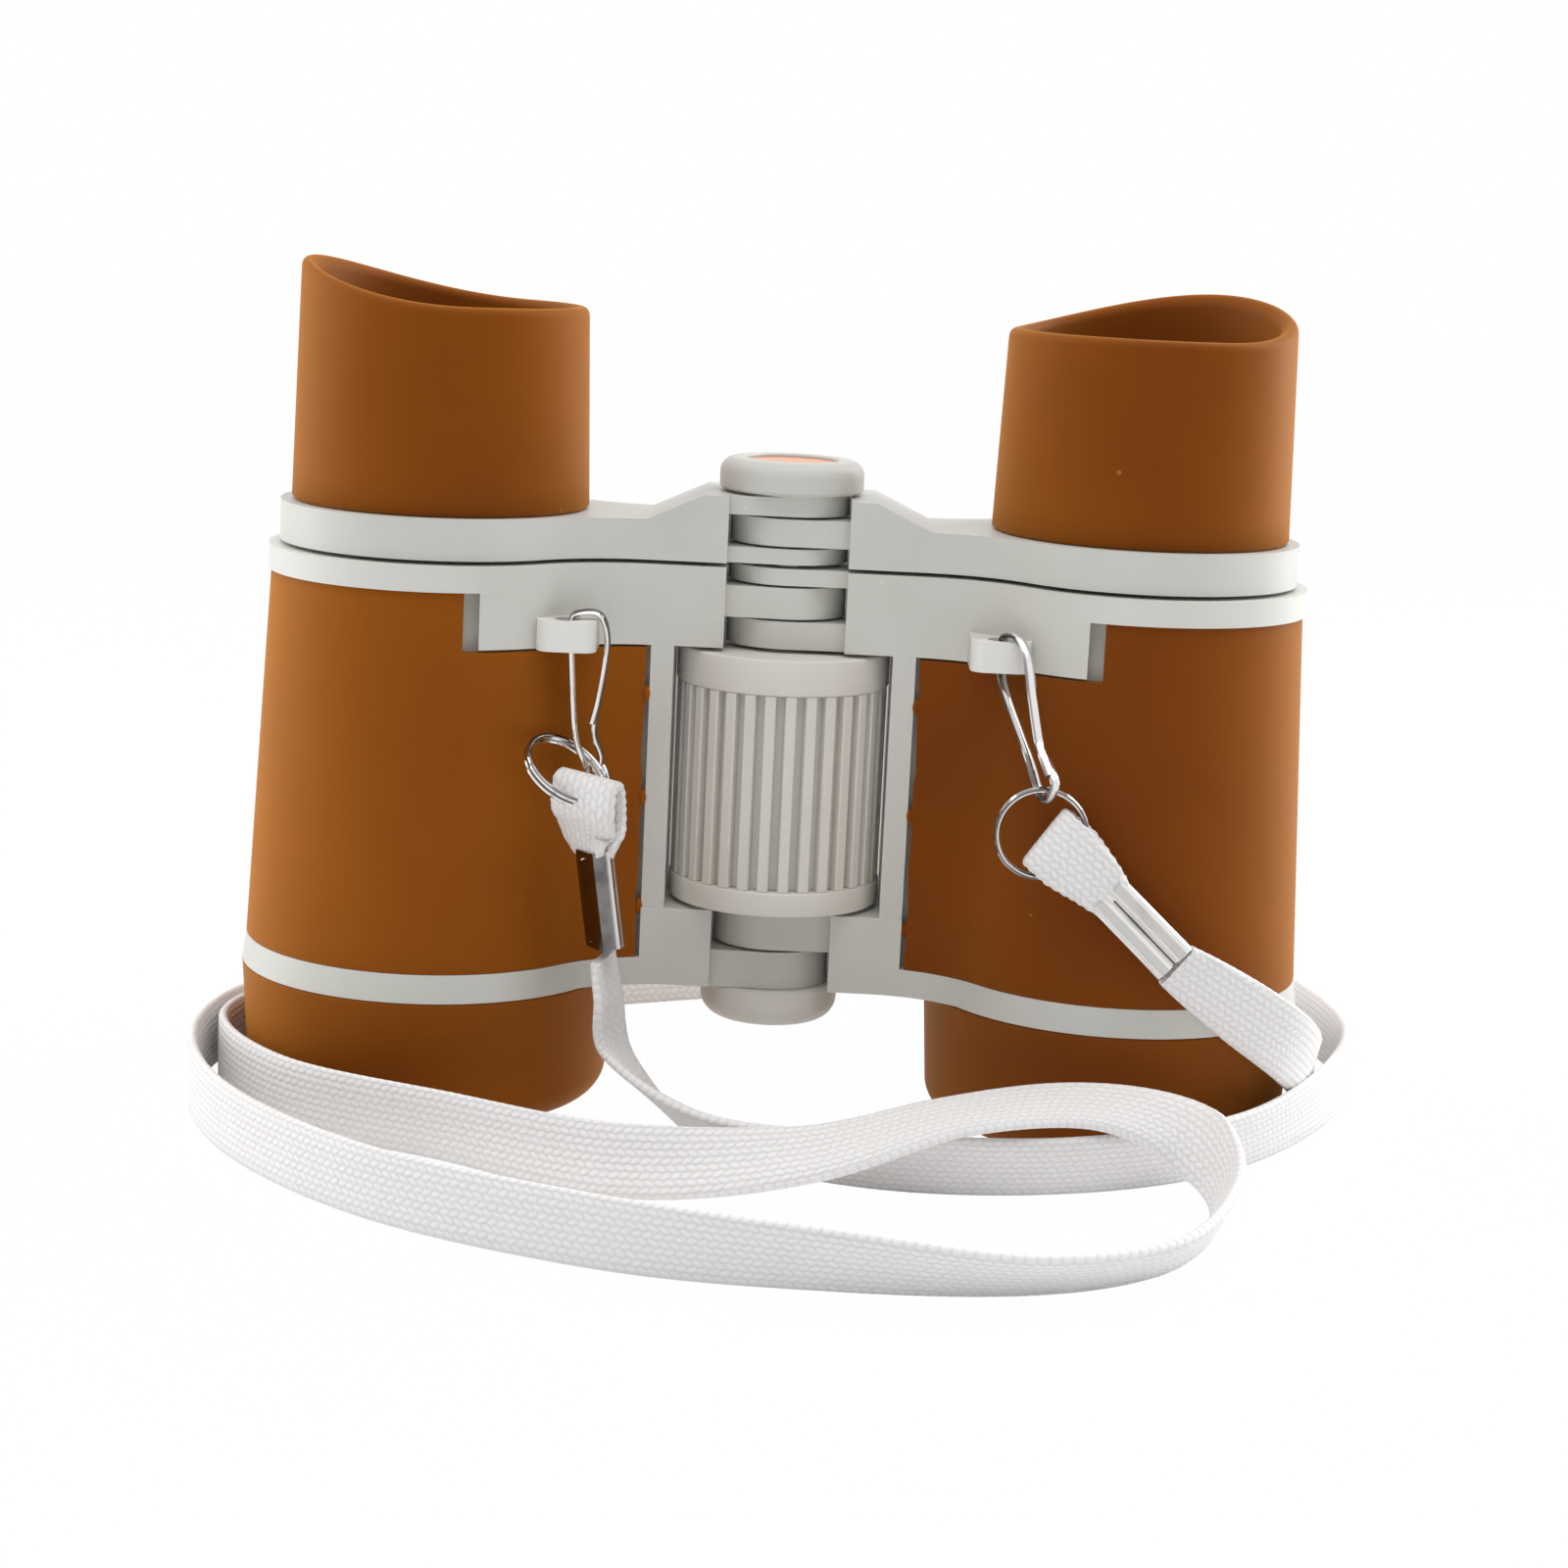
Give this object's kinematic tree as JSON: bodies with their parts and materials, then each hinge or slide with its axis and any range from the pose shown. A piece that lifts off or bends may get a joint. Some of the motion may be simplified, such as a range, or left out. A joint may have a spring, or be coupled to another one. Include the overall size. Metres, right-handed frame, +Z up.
{
  "type": "folding toy binoculars",
  "caption": "Child's folding binoculars with rubber-armoured barrels, a ribbed focus wheel on the hinge, winged eyecups and a flat neck strap on wire hooks.",
  "frame": {"origin": "on the hinge axis, in the plane of the objective ends that the binoculars stand on", "axes": "+X from the left barrel to the right barrel, +Y away from the side the strap hangs on, +Z up along the barrels from the objectives to the eyepieces"},
  "size_m": [0.1212, 0.12, 0.0845],
  "materials": {
    "shell_grey": "satin moulded plastic, pale warm grey",
    "arm_grey": "satin moulded plastic, pale warm grey with fine flecks",
    "rubber_brown": "soft matt rubber, warm brown",
    "clear_lens": "clear polished plastic lens",
    "dark_plastic": "matt black plastic",
    "disc_orange": "pale orange plastic",
    "nickel": "bright nickel plating",
    "strap_white": "flat braided white cord"
  },
  "bodies": {
    "left_body": {"left_body": "shell_grey", "left_armour": "rubber_brown", "left_bumper": "rubber_brown", "left_objective_lens": "clear_lens", "left_objective_ring": "dark_plastic", "hinge_tube": "nickel", "hinge_pin": "nickel", "bottom_cap": "shell_grey", "left_hook": "nickel", "left_split_ring": "nickel", "left_strap_loop": "strap_white", "left_ferrule": "nickel", "strap": "strap_white"},
    "right_body": {"right_body": "shell_grey", "right_armour": "rubber_brown", "right_bumper": "rubber_brown", "right_objective_lens": "clear_lens", "right_objective_ring": "dark_plastic", "right_hook": "nickel", "right_split_ring": "nickel", "right_strap_loop": "strap_white", "right_ferrule": "nickel"},
    "focus_wheel": {"focus_wheel": "shell_grey"},
    "left_eyepiece": {"left_eyepiece_arm": "arm_grey", "left_eyepiece_tube": "dark_plastic", "left_eye_lens": "clear_lens", "left_eye_lens_ring": "dark_plastic", "focus_screw": "nickel", "top_cap": "arm_grey", "cap_disc": "disc_orange"},
    "right_eyepiece": {"right_eyepiece_arm": "arm_grey", "right_eyepiece_tube": "dark_plastic", "right_eye_lens": "clear_lens", "right_eye_lens_ring": "dark_plastic"},
    "left_eyecup": {"left_eyecup": "rubber_brown"},
    "right_eyecup": {"right_eyecup": "rubber_brown"}
  },
  "joints": [
    {"name": "fold", "type": "hinge", "parent": "left_body", "child": "right_body", "pos_m": [0, 0, 0.035], "axis": [0, 0, 1], "range_deg": [0, 75], "deforming": ["strap"]},
    {"name": "focus_slide", "type": "slide", "parent": "left_body", "child": "left_eyepiece", "axis": [0, 0, 1], "range_m": [0, 0.005]},
    {"name": "focus_turn", "type": "hinge", "parent": "left_body", "child": "focus_wheel", "pos_m": [0, 0, 0.035], "axis": [0, 0, 1], "range_deg": [0, 300]},
    {"name": "right_arm_fold", "type": "hinge", "parent": "left_eyepiece", "child": "right_eyepiece", "pos_m": [0, 0, 0.06], "axis": [0, 0, 1], "range_deg": [0, 75]},
    {"name": "left_eyecup_twist", "type": "hinge", "parent": "left_eyepiece", "child": "left_eyecup", "pos_m": [-0.035, 0, 0.07], "axis": [0, 0, 1], "continuous": true},
    {"name": "right_eyecup_twist", "type": "hinge", "parent": "right_eyepiece", "child": "right_eyecup", "pos_m": [0.035, 0, 0.07], "axis": [0, 0, 1], "continuous": true}
  ],
  "couplings": [
    {"joint": "focus_turn", "follows": "focus_slide", "rad_per_m": 1047},
    {"joint": "right_arm_fold", "follows": "fold", "ratio": 1}
  ]
}
